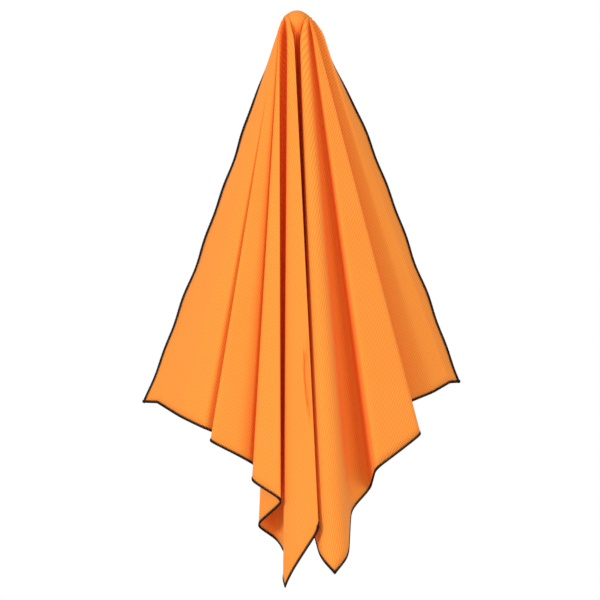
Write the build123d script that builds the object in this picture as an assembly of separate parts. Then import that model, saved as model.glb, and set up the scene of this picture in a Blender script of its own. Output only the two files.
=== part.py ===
from build123d import *
import math
import os

import numpy as np

# A quick dry travel towel, hung on a wall peg by one point near the middle of a long edge.
# Units are millimetres. +Z is up, the front faces -Y, and the origin is the top of the cloth over the peg.

# The cloth, laid flat
TOWEL_WIDTH = 1200.0
TOWEL_HEIGHT = 600.0
CLOTH_THICKNESS = 0.8
HEM_WIDTH = 4.0
HEM_THICKNESS = 1.8

# Where the peg holds the flat cloth, and the dome that it makes there
PEG_OFFSET = 12.0        # from the middle of the top edge, to the right
PEG_DEPTH = 28.0         # below the top edge
DOME_RADIUS = 21.0
DOME_END = 10.0          # distance from the peg up to which the cloth follows the dome
PLEAT_START = 50.0       # distance from the peg from which the pleats run straight, at the sides
PLEAT_DELAY = 24.0       # further than that at the front, where the cloth turns in to the long slit

LEFT_REACH = TOWEL_WIDTH / 2 + PEG_OFFSET
RIGHT_REACH = TOWEL_WIDTH / 2 - PEG_OFFSET
DOWN_REACH = TOWEL_HEIGHT - PEG_DEPTH

# The pleats. Each fold runs in a straight line from the dome down to the hem, and a fold is
# (its direction on the flat cloth in degrees, x and y at the dome, x and y at the level).
# The direction is measured at the peg, from left through down to right. Where it is None, the fold lies between
# its neighbours in step with the length of cloth.
LEVEL = 680.0            # drop below the dome at which the folds are placed
FOLD_ROUNDING = 7.0      # cut off each side of a fold at that level
FOLDS = [
    (0.0, -13.5, 2, -237, 66), (None, -16, 0, -188, -8), (11.3, -18, -3, -145, -46), (13.9, -19, 0, -112, -22),
    (16.9, -21, -4, -135, -62), (21.3, -22, -4, -82, -54), (None, -20, 1, -50, -20), (27.2, -23, -4, -67, -52),
    (31.4, -26, -6, -19, -68), (35.8, -22, 2, -55, -10), (None, -18, 13, -26, 20), (43.07, -13, -6, -18, -56),
    (None, -11, -7, -7, -72), (None, -9, -7, 12, -86), (49.3, -7, -8, 31, -100), (None, -5, 0, -6, -48),
    (None, -4, 12, -16, 16), (None, -4, 14, -70, 56), (None, -3, 14, -30, 38), (None, -2, 14, -42, 88),
    (None, -1, 14, 0, 30), (None, 0, 14, 2, 92), (None, 0.5, 14, 30, 32), (None, 1, 14, 44, 92),
    (None, 1.5, 14, 58, 30), (None, 2, 14, 90, 84), (None, 2, 14, 82, 44), (None, 3, 14, 128, 68),
    (None, 3, 12, 58, 14), (131.2, 3, 0, 19, -46), (133.9, 3, -7, 27, -88), (135.79, 7, -8, 46, -96),
    (138.4, 11, -7, 64, -84), (143.2, 13, 3, 73, -14), (146.2, 15, 5, 103, 2), (150.0, 17, -5, 113, -64),
    (156.4, 15, -4, 197, -28), (None, 13, 4, 120, 54), (170.3, 19, 4, 184, 30), (None, 25, 2, 232, 30),
    (180.0, 18, 3, 272, 54),
]
BOTTOM_LEFT_FOLD = 11    # the folds that run to the bottom corners
BOTTOM_RIGHT_FOLD = 31


def smoothstep(value, low, high):
    """Rise smoothly from 0 at low to 1 at high."""
    share = min(max((value - low) / (high - low), 0.0), 1.0)
    return share * share * (3 - 2 * share)


def edge_distance(angle, border=0.0):
    """Distance on the flat cloth from the peg to the edge, less a border, in a direction.

    The direction is 0 to the left, 90 degrees down and 180 degrees to the right.
    """
    distance = math.inf
    if math.cos(angle) > 1e-9:
        distance = (LEFT_REACH - border) / math.cos(angle)
    if math.cos(angle) < -1e-9:
        distance = (RIGHT_REACH - border) / -math.cos(angle)
    if math.sin(angle) > 1e-9:
        distance = min(distance, (DOWN_REACH - border) / math.sin(angle))
    return distance


def fold_directions():
    """The direction of every fold on the flat cloth, in radians."""
    level_points = np.array([fold[3:] for fold in FOLDS], float)
    steps = np.linalg.norm(np.diff(level_points, axis=0), axis=1)
    along = np.concatenate([[0.0], np.cumsum(steps)])
    known = [index for index, fold in enumerate(FOLDS) if fold[0] is not None]
    return np.radians(np.interp(along, along[known], [FOLDS[index][0] for index in known]))


def rounded_folds():
    """Cut each corner in the row of folds, so that the pleats are rounded, but keep the cloth's corners."""
    rows = np.column_stack([fold_directions(), [fold[1:] for fold in FOLDS]])
    corner_angles = {
        BOTTOM_LEFT_FOLD: math.atan2(DOWN_REACH, LEFT_REACH),
        BOTTOM_RIGHT_FOLD: math.pi - math.atan2(DOWN_REACH, RIGHT_REACH),
    }
    cut = [rows[0]]
    for index, (start, end) in enumerate(zip(rows[:-1], rows[1:])):
        share = min(FOLD_ROUNDING / np.linalg.norm(end[3:] - start[3:]), 0.4)
        cut += [start + share * (end - start), end + share * (start - end)]
        if index + 1 in corner_angles:
            middle = (cut[-1] + end) / 2
            middle[0] = corner_angles[index + 1]
            cut.append(middle)
    return np.array(cut + [rows[-1]])


folds = rounded_folds()
angles = folds[:, 0]
corner_lines = [2 * BOTTOM_LEFT_FOLD + 1, 2 * BOTTOM_RIGHT_FOLD + 2]


def drape_round(distance, angle):
    """Place a point of the flat cloth, given from the peg, on the hanging cloth."""
    bend = min(distance / DOME_RADIUS, math.pi / 2)
    fall = distance - DOME_RADIUS * bend
    over = DOME_RADIUS * math.sin(bend)
    dome = np.array([-over * math.cos(angle), -over * math.sin(angle),
                     DOME_RADIUS * (math.cos(bend) - 1) - fall])
    x_dome, y_dome, x_level, y_level = (np.interp(angle, angles, column) for column in folds.T[1:])
    along = np.array([x_level - x_dome, y_level - y_dome, -LEVEL])
    rise = DOME_RADIUS * (math.pi / 2 - 1)
    pleat = np.array([x_dome, y_dome, rise]) + distance * along / np.linalg.norm(along)
    share = smoothstep(distance, DOME_END, PLEAT_START + PLEAT_DELAY * math.sin(angle) ** 4)
    return (1 - share) * dome + share * pleat


def drape(across, down):
    """Place a point of the flat cloth on the hanging cloth.

    across is from the peg to the right, and down is from the top edge.
    """
    below_peg = down - PEG_DEPTH
    if below_peg >= 0:
        return drape_round(math.hypot(across, below_peg), math.atan2(below_peg, -across))
    # The strip above the peg lies back over it, and turns out to the side further along
    reach = abs(across)
    if across < 0:
        beside = drape_round(reach, 0.0)
        lean = -0.72 * (reach / LEFT_REACH) ** 2
    else:
        beside = drape_round(reach, math.pi)
        lean = 0.60 * smoothstep(reach, 20, 200) - 0.08 * smoothstep(reach, 450, RIGHT_REACH)
    back = np.array([lean, math.sqrt(1 - lean * lean), 0.0])
    return beside - below_peg * back


# The rows of points down the cloth, as distances from the peg, and those beside the strip above it
NEAR_ROWS = [28.0, 42.0, 58.0, 76.0, 200.0]
STRIP_START = 18.0
STRIP_ROWS = [22.0, 25.0, 31.0, 38.0, 50.0, 66.0, 84.0, 205.0]
HEM_ROWS = [26.0, 30.0, 37.0, 44.0, 56.0, 72.0, 90.0, 210.0]


def fan_line(angle):
    """Flat points (across, down) from the top edge over the peg to the far edge, at one direction."""
    sideways = -math.cos(angle)
    downwards = math.sin(angle)
    first = NEAR_ROWS[0]
    ring = np.array([first * sideways, PEG_DEPTH + first * downwards])
    top = np.array([STRIP_START * sideways, 0.0])
    line = [top, top + [0.0, HEM_WIDTH], (top + ring) / 2]
    for distance in NEAR_ROWS + [edge_distance(angle, HEM_WIDTH), edge_distance(angle)]:
        line.append(np.array([distance * sideways, PEG_DEPTH + distance * downwards]))
    return line


def strip_line(side, rows, down, reach):
    """Flat points (across, down) beside the top edge, out to a side edge."""
    outward = rows + [reach - HEM_WIDTH, reach]
    return [np.array([side * across, down]) for across in outward]


flat = [strip_line(-1, HEM_ROWS, 0.0, LEFT_REACH), strip_line(-1, STRIP_ROWS, HEM_WIDTH, LEFT_REACH)]
flat += [fan_line(angle) for angle in angles]
flat += [strip_line(1, STRIP_ROWS, HEM_WIDTH, RIGHT_REACH), strip_line(1, HEM_ROWS, 0.0, RIGHT_REACH)]
flat[1][0][1] = 0.0
flat[-2][0][1] = 0.0


def corner_offsets(points):
    """Directions in which the cloth is thickened at each grid point, longer where it folds."""
    count, rows = points.shape[:2]
    cell_normals = np.zeros((count - 1, rows - 1, 3))
    for i in range(count - 1):
        for j in range(rows - 1):
            normal = np.cross(points[i + 1, j + 1] - points[i, j], points[i, j + 1] - points[i + 1, j])
            cell_normals[i, j] = normal / np.linalg.norm(normal)
    offsets = np.zeros_like(points)
    for i in range(count):
        for j in range(rows):
            around = cell_normals[max(i - 1, 0):i + 1, max(j - 1, 0):j + 1].reshape(-1, 3)
            mean = around.mean(axis=0)
            mean /= np.linalg.norm(mean)
            offsets[i, j] = mean / max((around @ mean).min(), 0.7)
    return offsets


grid = np.array([[drape(*point) for point in line] for line in flat])
offsets = corner_offsets(grid)


def ruled(start, end, other_start, other_end):
    """A ruled face between two straight edges."""
    edge = Edge.make_line(Vector(*start), Vector(*end))
    other_edge = Edge.make_line(Vector(*other_start), Vector(*other_end))
    return Face.make_surface_from_curves(edge, other_edge)


def cloth_solid(cells, thickness):
    """One closed solid of the given thickness over a set of grid cells."""
    front = grid + offsets * thickness / 2
    back = grid - offsets * thickness / 2
    faces = []
    for i, j in cells:
        for side in (front, back):
            faces.append(ruled(side[i, j], side[i + 1, j], side[i, j + 1], side[i + 1, j + 1]))
        borders = [
            ((i, j - 1), (i, j), (i + 1, j)),
            ((i, j + 1), (i, j + 1), (i + 1, j + 1)),
            ((i - 1, j), (i, j), (i, j + 1)),
            ((i + 1, j), (i + 1, j), (i + 1, j + 1)),
        ]
        for neighbour, start, end in borders:
            if neighbour not in cells:
                faces.append(ruled(front[start], front[end], back[start], back[end]))
    return Solid(Shell(faces))


# The grid's cells, shared out to the pieces: the border is hem, and the rest is the panel
last_line = len(flat) - 2
last_row = len(flat[0]) - 2
left_corner_line, right_corner_line = (2 + line for line in corner_lines)
lines = range(last_line + 1)
side_rows = range(last_row)
pieces = {
    "towel_panel": {(i, j) for i in range(1, last_line) for j in range(1, last_row)},
    "top_hem": {(i, j) for i in (0, last_line) for j in side_rows} | {(i, 0) for i in lines},
    "left_hem": {(i, last_row) for i in range(left_corner_line)},
    "bottom_hem": {(i, last_row) for i in range(left_corner_line, right_corner_line)},
    "right_hem": {(i, last_row) for i in range(right_corner_line, last_line + 1)},
}

os.makedirs("parts", exist_ok=True)
for name, cells in pieces.items():
    thickness = CLOTH_THICKNESS if name == "towel_panel" else HEM_THICKNESS
    export_step(cloth_solid(cells, thickness), f"parts/{name}.step")
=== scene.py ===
import math

import bmesh
import bpy
import numpy as np
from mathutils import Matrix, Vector


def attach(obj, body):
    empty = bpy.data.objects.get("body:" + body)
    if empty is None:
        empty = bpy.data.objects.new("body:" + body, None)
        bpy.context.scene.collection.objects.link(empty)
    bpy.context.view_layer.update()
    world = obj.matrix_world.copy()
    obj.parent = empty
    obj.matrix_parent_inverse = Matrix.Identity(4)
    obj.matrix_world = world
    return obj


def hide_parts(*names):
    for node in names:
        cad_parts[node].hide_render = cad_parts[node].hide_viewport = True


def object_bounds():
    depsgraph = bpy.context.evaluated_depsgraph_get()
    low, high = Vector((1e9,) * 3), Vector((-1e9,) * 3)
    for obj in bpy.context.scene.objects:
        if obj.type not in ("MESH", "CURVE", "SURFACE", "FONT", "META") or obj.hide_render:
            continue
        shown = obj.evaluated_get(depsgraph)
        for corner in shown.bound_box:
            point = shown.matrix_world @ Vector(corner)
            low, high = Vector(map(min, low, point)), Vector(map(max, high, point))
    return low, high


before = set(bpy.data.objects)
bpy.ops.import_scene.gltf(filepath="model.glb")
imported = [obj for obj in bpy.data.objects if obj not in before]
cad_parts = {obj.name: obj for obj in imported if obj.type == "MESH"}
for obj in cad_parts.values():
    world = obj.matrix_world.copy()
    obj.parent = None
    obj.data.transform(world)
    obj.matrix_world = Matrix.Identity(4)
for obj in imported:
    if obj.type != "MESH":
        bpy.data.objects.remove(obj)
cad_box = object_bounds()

# A quick dry towel hanging from one point. Metres, +Z up, the front faces -Y, and the origin is the top of
# the cloth over the peg. The flat cloth is measured across from the peg, and down from the top edge.

# The cloth, laid flat
TOWEL_WIDTH = 1.2
TOWEL_HEIGHT = 0.6
CLOTH_THICKNESS = 0.0008
HEM_WIDTH = 0.004
PEG_OFFSET = 0.012       # from the middle of the top edge, to the right
PEG_DEPTH = 0.028        # below the top edge
LEFT_REACH = TOWEL_WIDTH / 2 + PEG_OFFSET
RIGHT_REACH = TOWEL_WIDTH / 2 - PEG_OFFSET
DOWN_REACH = TOWEL_HEIGHT - PEG_DEPTH

# The dome over the peg, and where the pleats begin and run straight
DOME_RADIUS = 0.021
DOME_END = 0.010
PLEAT_START = 0.050
PLEAT_START_FRONT = 0.034        # later by this much straight below the peg
HEM_WAVES = ((0.0010, 0.085), (0.0007, 0.143))     # height and length
EDGE_CURL = 0.005        # this much of the top edge curls out sideways, away from the peg

# The leaf-shaped crease: x and z of its middle, how it bends away above and below, and its depth. It is pressed
# fully between the inner two of each four directions (degrees) or heights over its middle.
CREASE_MIDDLE = (0.0088, -0.506)
CREASE_DIRECTIONS = (43.5, 45.0, 48.0, 49.2)
CREASE_HEIGHTS = (-0.095, -0.06, 0.04, 0.065)
CREASE_EDGE = (-0.0008, 0.0022)
CREASE_BEND_ABOVE = 4.8
CREASE_BEND_BELOW = 1.5
CREASE_DEPTH = 0.006

# The strip above the peg lies back, and leans sideways by these shares of its width
LEFT_LEAN = 0.72         # at the left end, growing from nothing with the square of the reach
RIGHT_LEAN = 0.50
RIGHT_LEAN_REACH = (0.04, 0.24)
WAVE_REACH = (0.1, 0.25)         # the edge's waves and curl set in between these distances from the peg
CURL_REACH = (0.06, 0.16)

# Folds, from left to right: (direction on the flat cloth in degrees, x and y at the dome, x and y at the level).
# The direction is measured at the peg, from left through down to right. Where it is None, the fold lies between
# its neighbours in step with the length of cloth.
LEVEL = 0.68             # drop below the dome at which the folds are placed
FOLD_SOFTNESS = 0.0075
FOLD_STEP = 0.001
FOLDS = [
    (0.0, -0.0135, 0.002, -0.237, 0.066), (None, -0.016, 0.000, -0.188, -0.008),
    (11.3, -0.018, -0.003, -0.145, -0.046), (13.9, -0.019, 0.000, -0.112, -0.022),
    (16.9, -0.021, -0.004, -0.135, -0.062), (21.3, -0.022, -0.004, -0.082, -0.054),
    (None, -0.020, 0.001, -0.050, -0.020), (27.2, -0.023, -0.004, -0.067, -0.052),
    (31.4, -0.026, -0.006, -0.019, -0.068), (35.8, -0.022, 0.002, -0.055, -0.010),
    (None, -0.018, 0.013, -0.026, 0.020), (None, -0.013, 0.004, -0.012, -0.018),
    (42.5, -0.013, -0.006, -0.020, -0.056),
    (None, -0.011, -0.007, -0.007, -0.072), (None, -0.009, -0.007, 0.012, -0.086),
    (49.3, -0.007, -0.008, 0.031, -0.100), (None, -0.005, 0.000, -0.006, -0.048),
    (None, -0.004, 0.012, -0.016, 0.016), (None, -0.004, 0.014, -0.070, 0.056),
    (None, -0.003, 0.014, -0.030, 0.038), (None, -0.002, 0.014, -0.042, 0.088),
    (None, -0.001, 0.014, 0.000, 0.030), (None, 0.000, 0.014, 0.002, 0.092),
    (None, 0.0005, 0.014, 0.030, 0.032), (None, 0.001, 0.014, 0.044, 0.092),
    (None, 0.0015, 0.014, 0.058, 0.030), (None, 0.002, 0.014, 0.090, 0.084),
    (None, 0.002, 0.014, 0.082, 0.044), (None, 0.003, 0.014, 0.128, 0.068), (None, 0.003, 0.012, 0.058, 0.014),
    (131.0, 0.003, 0.000, 0.021, -0.046), (134.3, 0.003, -0.007, 0.029, -0.090),
    (135.79, 0.007, -0.008, 0.046, -0.096), (137.4, 0.011, -0.007, 0.064, -0.084),
    (143.2, 0.013, 0.003, 0.073, -0.014), (146.2, 0.015, 0.005, 0.103, 0.002),
    (150.0, 0.017, -0.005, 0.113, -0.064), (156.4, 0.015, -0.004, 0.197, -0.028),
    (None, 0.013, 0.004, 0.120, 0.054), (170.3, 0.019, 0.004, 0.184, 0.030),
    (None, 0.025, 0.002, 0.232, 0.030), (180.0, 0.018, 0.003, 0.272, 0.054),
]


def smoothstep(value, low, high):
    """Rise smoothly from 0 at low to 1 at high."""
    share = np.clip((value - low) / (high - low), 0.0, 1.0)
    return share * share * (3 - 2 * share)


def edge_distance(angle):
    """Distance on the flat cloth from the peg to the edge. 0 is left, and a quarter turn is down."""
    sideways = np.cos(angle)
    reach = np.where(sideways > 0, LEFT_REACH, RIGHT_REACH) / np.maximum(np.abs(sideways), 1e-9)
    return np.minimum(reach, DOWN_REACH / np.maximum(np.sin(angle), 1e-9))


def run_length(points):
    """Distance along a polyline at each of its points."""
    return np.concatenate([[0.0], np.cumsum(np.linalg.norm(np.diff(points, axis=0), axis=1))])


def blurred(values, spacing, softness):
    """Blur the rows of a table that are a spacing apart, and keep its two ends where they are."""
    reach = int(4 * softness / spacing)
    weights = np.exp(-0.5 * (np.arange(-reach, reach + 1) * spacing / softness) ** 2)
    weights /= weights.sum()
    before = 2 * values[0] - values[reach:0:-1]
    after = 2 * values[-1] - values[-2:-reach - 2:-1]
    padded = np.vstack([before, values, after])
    return np.array([np.convolve(column, weights, mode="valid") for column in padded.T]).T


def fold_curve():
    """The folds as one soft curve: directions on the flat cloth, and x and y at the dome and at the level."""
    known = [index for index, fold in enumerate(FOLDS) if fold[0] is not None]
    corners = np.array([fold[1:] for fold in FOLDS])
    along = run_length(corners[:, 2:])
    fine = np.linspace(0, along[-1], round(along[-1] / FOLD_STEP))
    curve = np.array([np.interp(fine, along, column) for column in corners.T]).T
    curve = blurred(curve, FOLD_STEP, FOLD_SOFTNESS)
    known_angles = np.radians([FOLDS[index][0] for index in known])
    return np.interp(fine, along[known], known_angles), curve


fold_angles, folds = fold_curve()


def creased(point, angle):
    """Press the soft leaf-shaped crease into the front pleat, beside the long slit."""
    height = point[..., 2] - CREASE_MIDDLE[1]
    bend = np.where(height > 0, CREASE_BEND_ABOVE, CREASE_BEND_BELOW)
    beside = point[..., 0] - CREASE_MIDDLE[0] - bend * height ** 2
    directions = np.radians(CREASE_DIRECTIONS)
    on_pleat = smoothstep(angle, *directions[:2]) * (1 - smoothstep(angle, *directions[2:]))
    within = smoothstep(height, *CREASE_HEIGHTS[:2]) * (1 - smoothstep(height, *CREASE_HEIGHTS[2:]))
    pressed = CREASE_DEPTH * smoothstep(beside, *CREASE_EDGE) * on_pleat * within
    return point + pressed[..., None] * np.array([0.0, 1.0, 0.0])


def lying_back(across, above):
    """How the strip above the peg lies back, by its distance above the line level with the peg."""
    reach = np.abs(across)
    left_lean = -LEFT_LEAN * (reach / LEFT_REACH) ** 2
    right_lean = RIGHT_LEAN * smoothstep(reach, *RIGHT_LEAN_REACH)
    lean = np.where(across < 0, left_lean, right_lean)
    back = np.stack([lean, np.sqrt(1 - lean ** 2), np.zeros_like(lean)], -1)
    wave = sum(height * np.sin(2 * math.pi * across / length) for height, length in HEM_WAVES)
    wave *= smoothstep(reach, *WAVE_REACH)
    curl = np.maximum(above - PEG_DEPTH + EDGE_CURL, 0.0) * smoothstep(reach, *CURL_REACH)
    curl = curl ** 2 / EDGE_CURL * (2 - curl / EDGE_CURL)
    sideways = np.sign(across) * curl + wave * above / PEG_DEPTH
    return (above - curl)[..., None] * back + sideways[..., None] * np.array([1.0, 0.0, 0.0])


def drape(across, down):
    """Place points of the flat cloth on the hanging cloth."""
    across, down = np.broadcast_arrays(np.asarray(across, float), np.asarray(down, float))
    below = np.maximum(down - PEG_DEPTH, 0.0)
    above = np.maximum(PEG_DEPTH - down, 0.0)
    distance = np.hypot(across, below)
    angle = np.arctan2(below, -across)

    bend = np.minimum(distance / DOME_RADIUS, math.pi / 2)
    over = DOME_RADIUS * np.sin(bend)
    drop = DOME_RADIUS * (1 - np.cos(bend)) + distance - DOME_RADIUS * bend
    dome = np.stack([-over * np.cos(angle), -over * np.sin(angle), -drop], -1)

    x_dome, y_dome, x_level, y_level = (np.interp(angle, fold_angles, column) for column in folds.T)
    heading = np.stack([x_level - x_dome, y_level - y_dome, np.full_like(x_level, -LEVEL)], -1)
    heading /= np.linalg.norm(heading, axis=-1, keepdims=True)
    rise = DOME_RADIUS * (math.pi / 2 - 1)
    pleat = np.stack([x_dome, y_dome, np.full_like(x_dome, rise)], -1) + distance[..., None] * heading

    pleat_start = PLEAT_START + PLEAT_START_FRONT * np.sin(angle) ** 4
    share = smoothstep(distance, DOME_END, pleat_start)[..., None]
    point = (1 - share) * dome + share * pleat
    return creased(point, angle) + lying_back(across, above)


# The grid of the flat cloth: lines that fan out from the top edge over the peg to the other edges
EDGE_SPACING = 0.0032
FAN_ROWS = 48
ROW_CROWDING = 1.15      # the rows lie closer together near the peg
FIRST_RING = 0.028
TOP_SPREAD = 0.018       # half the width at the top edge of the lines over the peg
STRIP_SPREAD = 0.010     # added to that for the lines beside them
UNDER_HEM = 0.0015       # the panel's own edge lies inside the overlock by this much
OVER_PEG = [0.0015, 0.004, 0.010, 0.016, 0.022]     # down from the top edge, over the peg
STRIP_DOWN = [0.0015, 0.003, 0.0045, 0.0065, 0.011, 0.016, 0.022]   # the lines beside the peg, above it


def border_angles():
    """Directions from the peg to points spaced evenly along the left, bottom and right edges."""
    corners = [(-LEFT_REACH, PEG_DEPTH), (-LEFT_REACH, TOWEL_HEIGHT), (RIGHT_REACH, TOWEL_HEIGHT),
               (RIGHT_REACH, PEG_DEPTH)]
    angles = [0.0]
    for (x0, y0), (x1, y1) in zip(corners[:-1], corners[1:]):
        count = round(math.hypot(x1 - x0, y1 - y0) / EDGE_SPACING)
        share = np.arange(1, count + 1) / count
        angles += list(np.arctan2(y0 + share * (y1 - y0) - PEG_DEPTH, -(x0 + share * (x1 - x0))))
    return np.array(angles)


def fan_grid():
    """Flat points by line and row. The first and last lines run along the strip above the peg."""
    ring_share = (np.arange(FAN_ROWS + 1) / FAN_ROWS) ** ROW_CROWDING
    lines = []
    for angle in border_angles():
        across, down = -math.cos(angle), math.sin(angle)
        ring = np.array([FIRST_RING * across, PEG_DEPTH + FIRST_RING * down])
        line = []
        for depth in OVER_PEG:
            share = depth / PEG_DEPTH
            top = np.array([TOP_SPREAD * across, 0.0])
            line.append((1 - share) * top + share * ring + np.array([0, depth - share * ring[1]]) * (1 - share))
        distance = FIRST_RING + (edge_distance(angle) - UNDER_HEM - FIRST_RING) * ring_share
        line += [np.array([r * across, PEG_DEPTH + r * down]) for r in distance]
        lines.append(np.array(line))
    left, right = lines[0], lines[-1]
    strips_left, strips_right = [], []
    for depth in STRIP_DOWN:
        share = depth / PEG_DEPTH
        for side, strips in ((left, strips_left), (right, strips_right)):
            line = side.copy()
            outward = (np.abs(line[:, 0]) - TOP_SPREAD) / (abs(line[-1, 0]) - TOP_SPREAD)
            line[:, 0] += np.sign(line[:, 0]) * (1 - share) * STRIP_SPREAD * (1 - outward)
            line[:, 1] = np.minimum(line[:, 1], depth)
            strips.append(line)
    return np.array(strips_left + lines + strips_right[::-1])


flat = fan_grid()
surface = drape(flat[..., 0], flat[..., 1])


def grid_normals(points):
    """Unit normals of a grid of points, which head to the back of the cloth."""
    along_i = np.gradient(points, axis=0)
    along_j = np.gradient(points, axis=1)
    normals = np.cross(along_j, along_i)
    lengths = np.linalg.norm(normals, axis=-1, keepdims=True)
    return normals / np.maximum(lengths, 1e-12)


normals = grid_normals(surface)


def cloth_object(name, points, normals, thickness):
    """A closed sheet: the front, the back and a rim around it, with the flat cloth as its UV map."""
    count, rows = points.shape[:2]
    front = points - normals * thickness / 2
    back = points + normals * thickness / 2
    vertices = np.concatenate([front.reshape(-1, 3), back.reshape(-1, 3)])
    index = np.arange(count * rows).reshape(count, rows)
    a, b, c, d = index[:-1, :-1], index[1:, :-1], index[1:, 1:], index[:-1, 1:]
    front_faces = np.stack([a, b, c, d], -1).reshape(-1, 4)
    back_faces = np.stack([a, d, c, b], -1).reshape(-1, 4) + count * rows
    border = np.concatenate([index[:, 0], index[-1, 1:], index[-2::-1, -1], index[0, -2:0:-1]])
    next_border = np.roll(border, -1)
    rim = np.stack([next_border, border, border + count * rows, next_border + count * rows], -1)
    faces = np.concatenate([front_faces, back_faces, rim])
    mesh = bpy.data.meshes.new(name)
    mesh.from_pydata(vertices.tolist(), [], faces.tolist())
    uv_layer = mesh.uv_layers.new(name="flat_cloth")
    flat_uv = np.concatenate([flat.reshape(-1, 2), flat.reshape(-1, 2)])
    loops = np.empty(len(mesh.loops), int)
    mesh.loops.foreach_get("vertex_index", loops)
    uv_layer.data.foreach_set("uv", flat_uv[loops].ravel())
    mesh.polygons.foreach_set("use_smooth", [True] * len(mesh.polygons))
    mesh.update()
    piece = bpy.data.objects.new(name, mesh)
    bpy.context.scene.collection.objects.link(piece)
    return piece


panel = cloth_object("towel_cloth", surface, normals, CLOTH_THICKNESS)


# The overlocked edges: a flat core along each edge, wound with thread, with a row of needle stitches inside it
HEM_THICKNESS = 0.0018
CORE_SPACING = 0.002
CORE_SIDES = 10
THREAD_RADIUS = 0.00032
STITCH_PITCH = 0.0022
WINDING_STEPS = 12
NEEDLE_LENGTH = 0.0026
NEEDLE_ROW = 0.9         # of the way from the middle of the hem to its inner side


def edge_frame(edge_point, inward, along):
    """Points in the middle of the hem at distances along an edge, and there the ways in and off the cloth.

    edge_point gives flat (across, down) values, and inward is the way in from the edge in those values.
    """
    flat_edge = edge_point(along)
    middle = drape(*(flat_edge + inward * HEM_WIDTH / 2).T)
    at_edge = drape(*flat_edge.T)
    inner = drape(*(flat_edge + inward * HEM_WIDTH).T)
    tangent = np.gradient(middle, axis=0)
    tangent /= np.maximum(np.linalg.norm(tangent, axis=1, keepdims=True), 1e-12)
    inwards = inner - at_edge
    inwards -= (inwards * tangent).sum(1, keepdims=True) * tangent
    inwards /= np.maximum(np.linalg.norm(inwards, axis=1, keepdims=True), 1e-12)
    return middle, inwards, np.cross(tangent, inwards)


def add_rings(rings, vertices, faces):
    """Join rings of points into a tube with closed ends."""
    start = sum(len(part) for part in vertices)
    count, sides = rings.shape[:2]
    index = start + np.arange(count * sides).reshape(count, sides)
    turned = np.roll(index, -1, axis=1)
    vertices.append(rings.reshape(-1, 3))
    faces += np.stack([index[:-1], turned[:-1], turned[1:], index[1:]], -1).reshape(-1, 4).tolist()
    faces += [index[0, ::-1].tolist(), index[-1].tolist()]


def thread_rings(path, outward, radius, sides=4):
    """Rings of a thread that follows a path."""
    tangent = np.gradient(path, axis=0)
    tangent /= np.maximum(np.linalg.norm(tangent, axis=1, keepdims=True), 1e-12)
    first = outward - (outward * tangent).sum(1, keepdims=True) * tangent
    first /= np.maximum(np.linalg.norm(first, axis=1, keepdims=True), 1e-12)
    second = np.cross(tangent, first)
    turn = 2 * math.pi * np.arange(sides) / sides
    across = np.cos(turn)[None, :, None] * first[:, None] + np.sin(turn)[None, :, None] * second[:, None]
    return path[:, None] + radius * across


def hem_object(name, edge_point, inward, length):
    """One overlocked edge."""
    vertices, faces = [], []
    wide, thick = HEM_WIDTH / 2, HEM_THICKNESS / 2
    along = np.linspace(0, length, round(length / CORE_SPACING) + 1)
    middle, inwards, outward = edge_frame(edge_point, inward, along)
    turn = 2 * math.pi * np.arange(CORE_SIDES) / CORE_SIDES
    section = (wide - THREAD_RADIUS) * np.cos(turn)[None, :, None] * inwards[:, None]
    section = section + (thick - THREAD_RADIUS) * np.sin(turn)[None, :, None] * outward[:, None]
    add_rings(middle[:, None] + section, vertices, faces)

    turns = length / STITCH_PITCH
    along = np.linspace(0, length, round(turns * WINDING_STEPS) + 1)
    middle, inwards, outward = edge_frame(edge_point, inward, along)
    turn = (2 * math.pi * along / STITCH_PITCH)[:, None]
    path = middle + wide * np.cos(turn) * inwards + thick * np.sin(turn) * outward
    add_rings(thread_rings(path, path - middle, THREAD_RADIUS), vertices, faces)

    for side in (-1, 1):
        along = np.linspace(0, length, round(4 * length / NEEDLE_LENGTH) + 1)
        middle, inwards, outward = edge_frame(edge_point, inward, along)
        rise = CLOTH_THICKNESS / 2 + THREAD_RADIUS * np.cos(2 * math.pi * along / NEEDLE_LENGTH)[:, None]
        path = middle + NEEDLE_ROW * wide * inwards + side * rise * outward
        add_rings(thread_rings(path, side * outward, THREAD_RADIUS), vertices, faces)

    mesh = bpy.data.meshes.new(name)
    mesh.from_pydata(np.concatenate(vertices).tolist(), [], faces)
    mesh.polygons.foreach_set("use_smooth", [True] * len(mesh.polygons))
    mesh.update()
    piece = bpy.data.objects.new(name, mesh)
    bpy.context.scene.collection.objects.link(piece)
    return piece


def edge_line(start, way):
    """The flat points of an edge by their distance from its start."""
    return lambda distance: np.array(start) + distance[:, None] * np.array(way)


# Each edge, with the way in from it and its length
HEMS = {
    "top_hem": (edge_line((-LEFT_REACH, 0.0), (1, 0)), (0, 1), TOWEL_WIDTH),
    "bottom_hem": (edge_line((-LEFT_REACH, TOWEL_HEIGHT), (1, 0)), (0, -1), TOWEL_WIDTH),
    "left_hem": (edge_line((-LEFT_REACH, 0.0), (0, 1)), (1, 0), TOWEL_HEIGHT),
    "right_hem": (edge_line((RIGHT_REACH, 0.0), (0, 1)), (-1, 0), TOWEL_HEIGHT),
}


# Materials: the cloth's works in the flat cloth's own coordinates, and the thread's in object coordinates
def new_material(name):
    material = bpy.data.materials.new(name)
    material.use_nodes = True
    return material, material.node_tree, material.node_tree.nodes["Principled BSDF"]


def math_node(tree, operation, *values):
    node = tree.nodes.new("ShaderNodeMath")
    node.operation = operation
    for socket, value in zip(node.inputs, values):
        if isinstance(value, (int, float)):
            socket.default_value = value
        else:
            tree.links.new(value, socket)
    return node.outputs[0]


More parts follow.
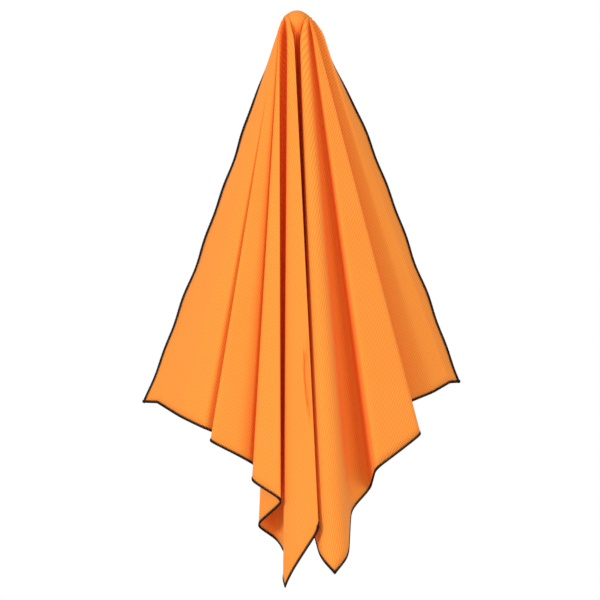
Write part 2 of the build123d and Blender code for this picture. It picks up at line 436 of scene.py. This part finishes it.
def noise_node(tree, vector, scale, detail=2.0, roughness=0.5):
    node = tree.nodes.new("ShaderNodeTexNoise")
    node.inputs["Scale"].default_value = scale
    node.inputs["Detail"].default_value = detail
    node.inputs["Roughness"].default_value = roughness
    tree.links.new(vector, node.inputs["Vector"])
    return node.outputs["Fac"]


def colour_mix(tree, factor, first, second):
    """Mix two colours, each a socket or an (r, g, b)."""
    node = tree.nodes.new("ShaderNodeMix")
    node.data_type = "RGBA"
    tree.links.new(factor, node.inputs["Factor"])
    for socket, value in ((node.inputs[6], first), (node.inputs[7], second)):
        if isinstance(value, tuple):
            socket.default_value = (*value, 1.0)
        else:
            tree.links.new(value, socket)
    return node.outputs[2]


def map_range(tree, value, low, high, to_low, to_high):
    node = tree.nodes.new("ShaderNodeMapRange")
    for name, number in (("From Min", low), ("From Max", high), ("To Min", to_low), ("To Max", to_high)):
        node.inputs[name].default_value = number
    tree.links.new(value, node.inputs["Value"])
    return node.outputs[0]


def bump_node(tree, height, distance, strength, normal=None):
    node = tree.nodes.new("ShaderNodeBump")
    node.inputs["Distance"].default_value = distance
    node.inputs["Strength"].default_value = strength
    tree.links.new(height, node.inputs["Height"])
    if normal is not None:
        tree.links.new(normal, node.inputs["Normal"])
    return node.outputs["Normal"]


RIB_SPACING = 0.0034     # between the diagonal ribs of the weave
RIB_LEAN = math.radians(30)
RIB_SHARE = 0.75         # of the relief, the rest is the cross ribs
NAP_SCALE = 2600         # the cloth's noises, in cells per metre
FIBRE_SCALE = 900
PATCH_SCALE = 9
ORANGE = (0.905, 0.306, 0.040)
PALE_ORANGE = (0.915, 0.330, 0.047)
# Painted shade: the darker orange laid into the grooves of the weave
GROOVE_SHADE_ORANGE = (0.880, 0.200, 0.022)
NAP_ORANGE = (0.88, 0.36, 0.07)
THREAD_BLACK = (0.004, 0.004, 0.004)
THREAD_GREY = (0.012, 0.011, 0.012)
WORN_GREY = (0.024, 0.021, 0.021)


def cloth_material():
    material, tree, shader = new_material("orange_microfibre")
    uv = tree.nodes.new("ShaderNodeUVMap")
    uv.uv_map = "flat_cloth"
    flat_place = uv.outputs["UV"]
    split = tree.nodes.new("ShaderNodeSeparateXYZ")
    tree.links.new(flat_place, split.inputs[0])
    across, down = split.outputs[0], split.outputs[1]

    # Fine diagonal ribs that run down and in from both ends of the towel, with weaker ribs that cross them
    turn = 2 * math.pi / RIB_SPACING
    sideways = math_node(tree, "MULTIPLY", math_node(tree, "ABSOLUTE", across), turn * math.cos(RIB_LEAN))
    downwards = math_node(tree, "MULTIPLY", down, turn * math.sin(RIB_LEAN))
    rib = math_node(tree, "SINE", math_node(tree, "SUBTRACT", downwards, sideways))
    cross_rib = math_node(tree, "SINE", math_node(tree, "ADD", downwards, sideways))
    strong = map_range(tree, rib, -1, 1, 0, RIB_SHARE)
    weak = map_range(tree, cross_rib, -1, 1, 0, 1 - RIB_SHARE)
    cells = math_node(tree, "ADD", strong, weak)
    nap = noise_node(tree, flat_place, NAP_SCALE, 3)
    fibres = noise_node(tree, flat_place, FIBRE_SCALE, 2)
    patches = noise_node(tree, flat_place, PATCH_SCALE, 3)

    base = colour_mix(tree, map_range(tree, patches, 0.3, 0.7, 0, 1), ORANGE, PALE_ORANGE)
    # The weave's grooves get a darker orange, painted shade on top of their bump relief
    weave_with_groove_shade = colour_mix(tree, map_range(tree, cells, 0.15, 0.85, 0, 1), GROOVE_SHADE_ORANGE, base)
    napped = colour_mix(tree, map_range(tree, nap, 0.3, 0.7, 0, 0.25), weave_with_groove_shade, NAP_ORANGE)
    tree.links.new(napped, shader.inputs["Base Color"])
    tree.links.new(map_range(tree, fibres, 0.2, 0.8, 0.78, 0.95), shader.inputs["Roughness"])
    shader.inputs["Specular IOR Level"].default_value = 0.18
    shader.inputs["Sheen Weight"].default_value = 0.12
    shader.inputs["Sheen Roughness"].default_value = 0.45
    shader.inputs["Sheen Tint"].default_value = (1.0, 0.62, 0.30, 1)
    relief = bump_node(tree, cells, 0.0003, 0.9)
    tree.links.new(bump_node(tree, nap, 0.00008, 0.5, relief), shader.inputs["Normal"])
    return material


def thread_material():
    material, tree, shader = new_material("black_overlock_thread")
    place = tree.nodes.new("ShaderNodeTexCoord").outputs["Object"]
    fibres = noise_node(tree, place, 1800, 3)
    wear = noise_node(tree, place, 60, 2)
    yarn = colour_mix(tree, map_range(tree, fibres, 0.3, 0.7, 0, 1), THREAD_BLACK, THREAD_GREY)
    worn = colour_mix(tree, map_range(tree, wear, 0.55, 0.8, 0, 0.5), yarn, WORN_GREY)
    tree.links.new(worn, shader.inputs["Base Color"])
    tree.links.new(map_range(tree, fibres, 0.3, 0.7, 0.55, 0.8), shader.inputs["Roughness"])
    shader.inputs["Specular IOR Level"].default_value = 0.2
    tree.links.new(bump_node(tree, fibres, 0.0001, 0.5), shader.inputs["Normal"])
    return material


panel.data.materials.append(cloth_material())
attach(panel, "root")
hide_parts("towel_panel")

thread = thread_material()
for node, (edge_point, inward, length) in HEMS.items():
    hem = hem_object(node + "_overlock", edge_point, np.array(inward, float), length)
    hem.data.materials.append(thread)
    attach(hem, "root")
    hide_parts(node)

# Camera: level with the middle of the towel, far back with a long lens
CAMERA_DISTANCE = 4.0
FRAME_HEIGHT = 0.863
camera_data = bpy.data.cameras.new("camera")
camera_data.sensor_width = 36
camera_data.lens = 36 * CAMERA_DISTANCE / FRAME_HEIGHT
camera = bpy.data.objects.new("camera", camera_data)
camera.location = (0.0045, -CAMERA_DISTANCE, -0.4165)
camera.rotation_euler = (math.pi / 2, 0, 0)
bpy.context.scene.collection.objects.link(camera)
bpy.context.scene.camera = camera

# A white studio: even light from all sides, two wide soft boxes at the front, and a pale floor well below
WORLD_LIGHT = 0.71
FLOOR_RADIUS = 0.8
FLOOR_DROP = 0.25        # below the towel's lowest point
world = bpy.data.worlds.new("studio")
bpy.context.scene.world = world
world.use_nodes = True
background = world.node_tree.nodes["Background"]
background.inputs["Color"].default_value = (1, 1, 1, 1)
seen = world.node_tree.nodes.new("ShaderNodeLightPath").outputs["Is Camera Ray"]
strength = map_range(world.node_tree, seen, 0, 1, WORLD_LIGHT, 1.0)
world.node_tree.links.new(strength, background.inputs["Strength"])


def soft_box(name, location, target, size, power):
    data = bpy.data.lights.new(name, "AREA")
    data.shape = "SQUARE"
    data.size = size
    data.energy = power
    light = bpy.data.objects.new(name, data)
    light.location = location
    light.rotation_euler = (Vector(target) - Vector(location)).to_track_quat("-Z", "Y").to_euler()
    bpy.context.scene.collection.objects.link(light)


middle = (0, 0, -0.42)
soft_box("soft_box_left", (-2.2, -2.4, 0.3), middle, 0.8, 54)
soft_box("soft_box_right", (1.8, -2.8, 0.2), middle, 1.4, 29)

floor_mesh = bpy.data.meshes.new("floor")
shape = bmesh.new()
bmesh.ops.create_circle(shape, cap_ends=True, segments=96, radius=FLOOR_RADIUS)
shape.to_mesh(floor_mesh)
shape.free()
floor = bpy.data.objects.new("floor", floor_mesh)
floor.location.z = cad_box[0][2] - FLOOR_DROP
bpy.context.scene.collection.objects.link(floor)
floor_material, floor_tree, floor_shader = new_material("pale_floor")
floor_shader.inputs["Base Color"].default_value = (0.85, 0.85, 0.84, 1)
floor_shader.inputs["Roughness"].default_value = 0.8
floor_mesh.materials.append(floor_material)

bpy.context.scene.cycles.max_bounces = 16
bpy.context.scene.cycles.diffuse_bounces = 14
bpy.context.scene.view_settings.view_transform = "Standard"
